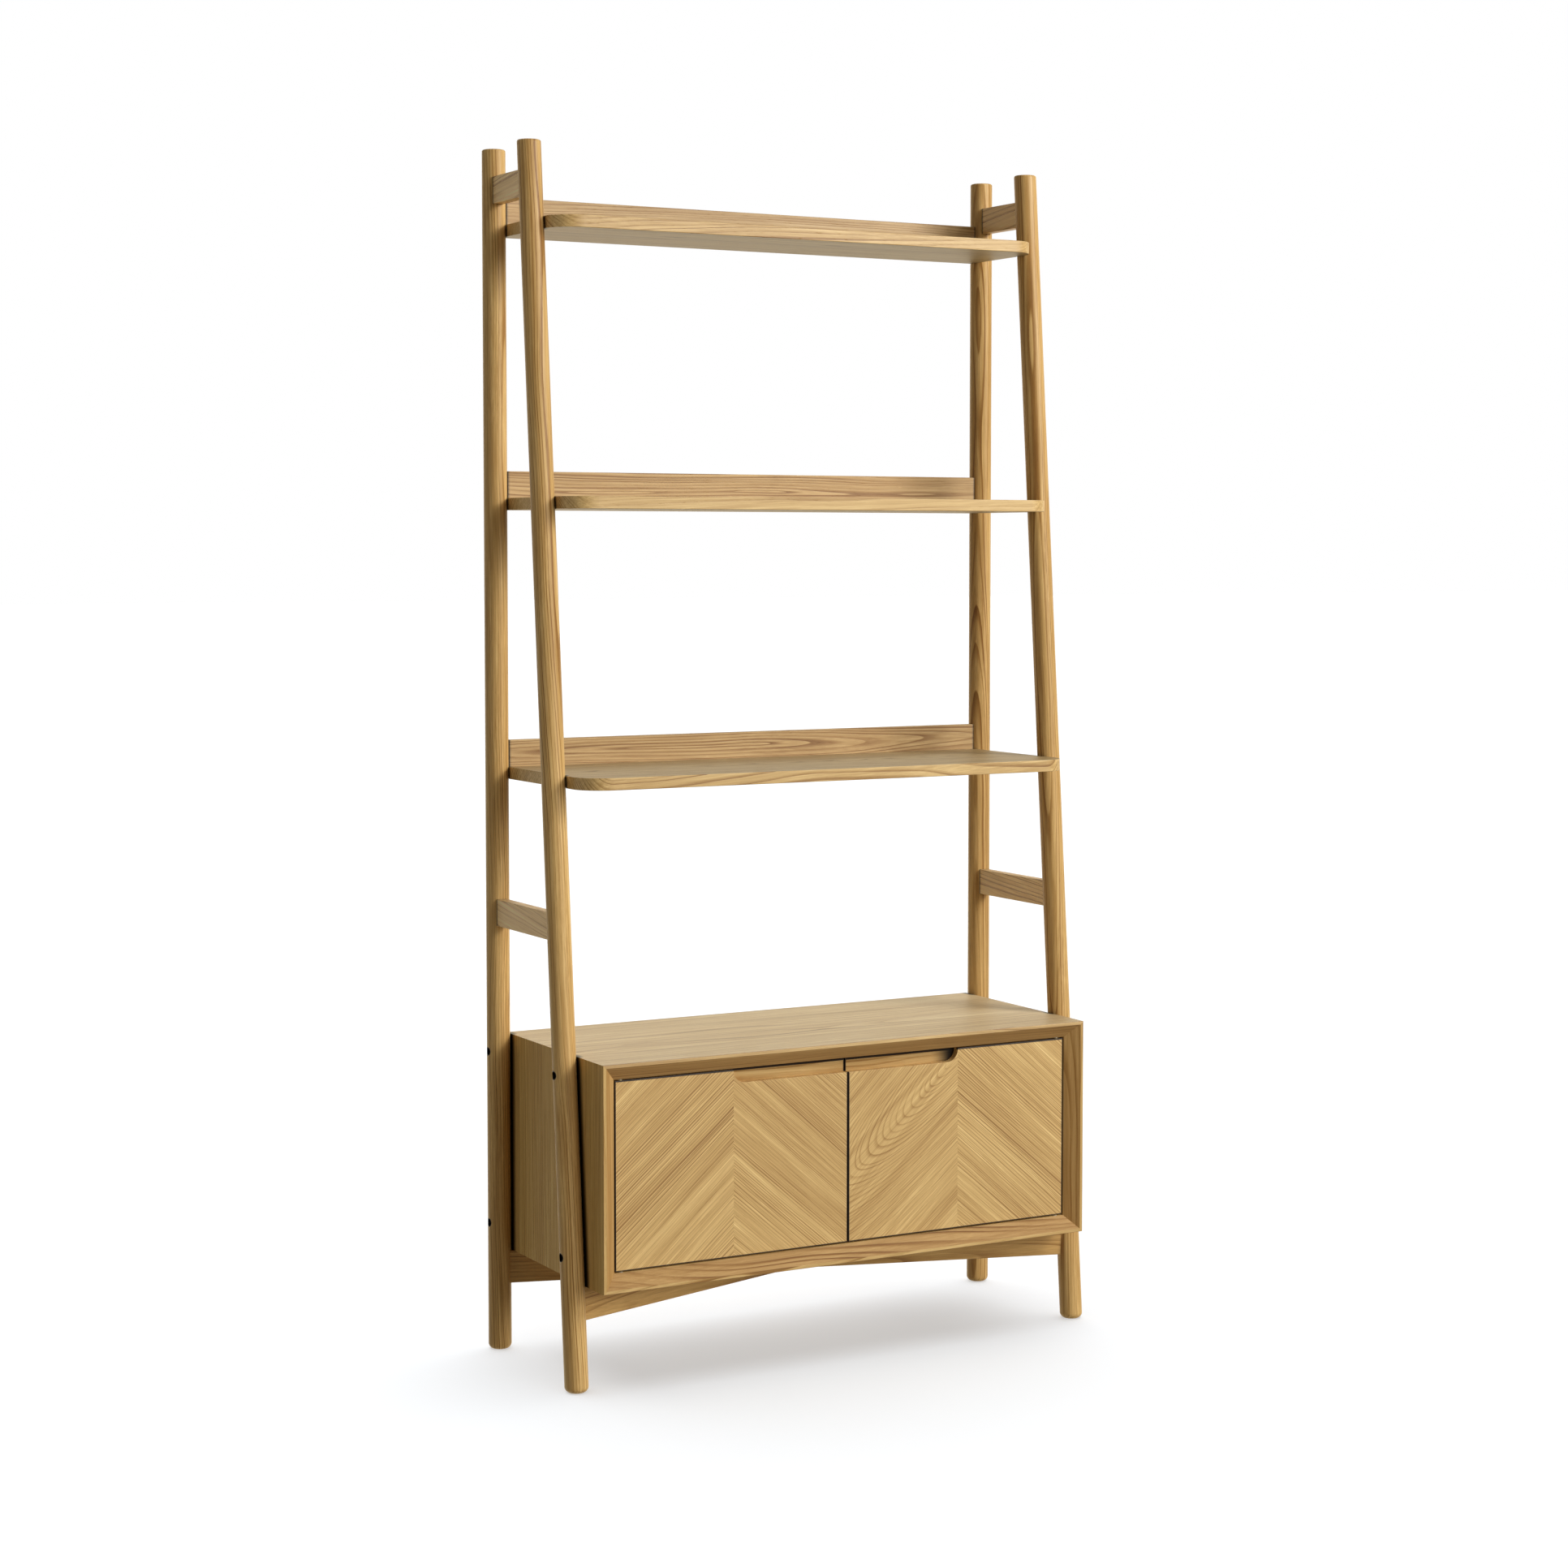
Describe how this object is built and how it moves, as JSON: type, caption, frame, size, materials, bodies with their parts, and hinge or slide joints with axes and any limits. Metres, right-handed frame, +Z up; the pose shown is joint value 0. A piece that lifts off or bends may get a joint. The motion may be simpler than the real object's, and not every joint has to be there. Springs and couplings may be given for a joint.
{
  "type": "ladder shelf",
  "caption": "Free-standing ladder shelf: round posts, the front ones leaning back, and open shelves with rounded corners over a low case with chevron-veneered pin-hinged doors.",
  "frame": {"origin": "on the floor, under the middle of the overall box", "axes": "+X to the right-hand side, the front faces -Y, +Z up"},
  "size_m": [0.894, 0.345, 1.8],
  "materials": {
    "oak_posts": "oiled solid oak, turned",
    "oak_boards": "oiled oak, grain along the length",
    "oak_case": "oiled oak veneer on board",
    "oak_chevron": "oak veneer laid in a chevron",
    "beech_dowel": "plain beech",
    "back_board": "oak veneered thin board",
    "steel": "zinc plated",
    "black_steel": "black oxide",
    "brass": "turned brass",
    "dark_plastic": "moulded",
    "magnet": "bare ferrite"
  },
  "bodies": {
    "frame": {"back_screws": "steel", "case_back": "back_board", "case_bolts": "black_steel", "case_bottom": "oak_case", "case_top": "oak_case", "catch_body": "dark_plastic", "catch_magnets": "magnet", "catch_screws": "steel", "hinge_pins": "steel", "left_case_side": "oak_case", "left_front_post": "oak_posts", "left_middle_rail": "oak_boards", "left_rear_post": "oak_posts", "left_upper_rail": "oak_boards", "lower_halved_stretcher": "oak_boards", "lower_shelf": "oak_boards", "lower_upstand": "oak_boards", "middle_shelf": "oak_boards", "middle_upstand": "oak_boards", "mitre_dowels": "beech_dowel", "right_case_side": "oak_case", "right_front_post": "oak_posts", "right_middle_rail": "oak_boards", "right_rear_post": "oak_posts", "right_upper_rail": "oak_boards", "shelf_dowels": "beech_dowel", "stretcher_screws": "steel", "threaded_inserts": "brass", "upper_halved_stretcher": "oak_boards", "upper_shelf": "oak_boards", "upper_upstand": "oak_boards", "upstand_dowels": "beech_dowel", "wall_plate_screws": "steel", "wall_plates": "steel"},
    "left_door_leaf": {"left_door": "oak_chevron", "left_pull_strip": "oak_boards", "left_door_bushes": "brass", "left_strike_plate": "steel", "left_strike_screws": "steel"},
    "right_door_leaf": {"right_door": "oak_chevron", "right_pull_strip": "oak_boards", "right_door_bushes": "brass", "right_strike_plate": "steel", "right_strike_screws": "steel"}
  },
  "joints": [
    {"name": "left_door_hinge", "type": "hinge", "parent": "frame", "child": "left_door_leaf", "pos_m": [-0.375, -0.1495, 0.31475], "axis": [0, 0, -1], "range_deg": [0, 105]},
    {"name": "right_door_hinge", "type": "hinge", "parent": "frame", "child": "right_door_leaf", "pos_m": [0.375, -0.1495, 0.31475], "axis": [0, 0, 1], "range_deg": [0, 105]}
  ]
}
